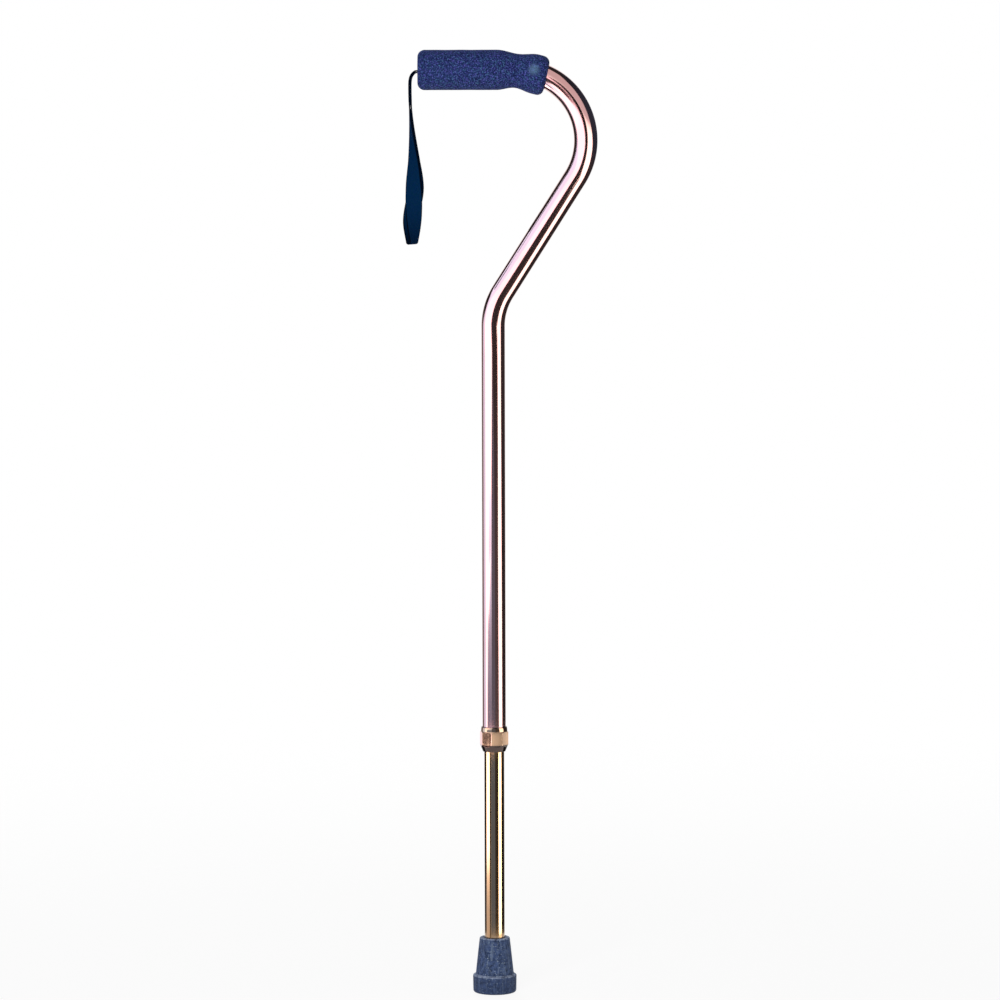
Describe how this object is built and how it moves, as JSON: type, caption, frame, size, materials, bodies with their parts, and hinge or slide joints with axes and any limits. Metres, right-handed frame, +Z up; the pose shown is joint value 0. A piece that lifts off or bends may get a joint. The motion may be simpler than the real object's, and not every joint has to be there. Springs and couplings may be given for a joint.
{
  "type": "offset walking cane",
  "caption": "Walking cane with a crooked handle tube, foam grip, wrist strap, lock nut, height-adjusting leg with a snap button, and a flared rubber tip.",
  "frame": {"origin": "middle of the rubber tip's sole, on the floor", "axes": "+Z up the shaft; +X towards the side the crook bulges to, so the grip and the strap reach to -X; -Y towards a viewer in front, with the setting holes and the button at +Y"},
  "size_m": [0.1822, 0.0412, 0.8893],
  "materials": {
    "rose_anodised": "bright-dipped and anodised rose bronze",
    "bronze_anodised": "bright-dipped and anodised bronze",
    "nut_anodised": "machined and anodised copper gold",
    "foam": "dipped nitrile foam, matte and speckled",
    "webbing": "woven nylon webbing",
    "tip_rubber": "moulded matte rubber",
    "black_nylon": "moulded",
    "white_acetal": "moulded",
    "zinc_steel": "zinc plated",
    "spring_steel": "blued strip"
  },
  "bodies": {
    "handle_shaft": {"handle_tube": "rose_anodised", "foam_grip": "foam", "handle_end_plug": "black_nylon", "strap_toggle": "zinc_steel", "strap_anchor": "webbing"},
    "strap": {"wrist_strap": "webbing"},
    "bush": {"clamp_bush": "white_acetal"},
    "nut": {"lock_nut": "nut_anodised"},
    "leg": {"leg_tube": "bronze_anodised", "rubber_tip": "tip_rubber", "tip_washer": "zinc_steel", "button_spring": "spring_steel"},
    "button": {"snap_button": "zinc_steel"}
  },
  "joints": [
    {"name": "height_adjust", "type": "slide", "parent": "handle_shaft", "child": "leg", "axis": [0, 0, 1], "range_m": [-0.1016, 0.127], "deforming": ["snap_button", "button_spring"]},
    {"name": "button_press", "type": "slide", "parent": "leg", "child": "button", "axis": [0, -1, 0], "range_m": [0, 0.0037], "stiffness_N_per_m": 2000, "springref_m": -0.003, "deforming": ["button_spring"]},
    {"name": "bush_drop", "type": "slide", "parent": "handle_shaft", "child": "bush", "axis": [0, 0, -1], "range_m": [0, 0.0015]},
    {"name": "nut_turn", "type": "hinge", "parent": "bush", "child": "nut", "pos_m": [0, 0, 0.24], "axis": [0, 0, -1], "range_deg": [0, 360]},
    {"name": "strap_swing", "type": "hinge", "parent": "handle_shaft", "child": "strap", "pos_m": [-0.072, 0, 0.8692], "axis": [0, 1, 0], "range_deg": [-12, 90]}
  ],
  "couplings": [
    {"joint": "bush_drop", "follows": "nut_turn", "m_per_rad": 0.00023873}
  ]
}
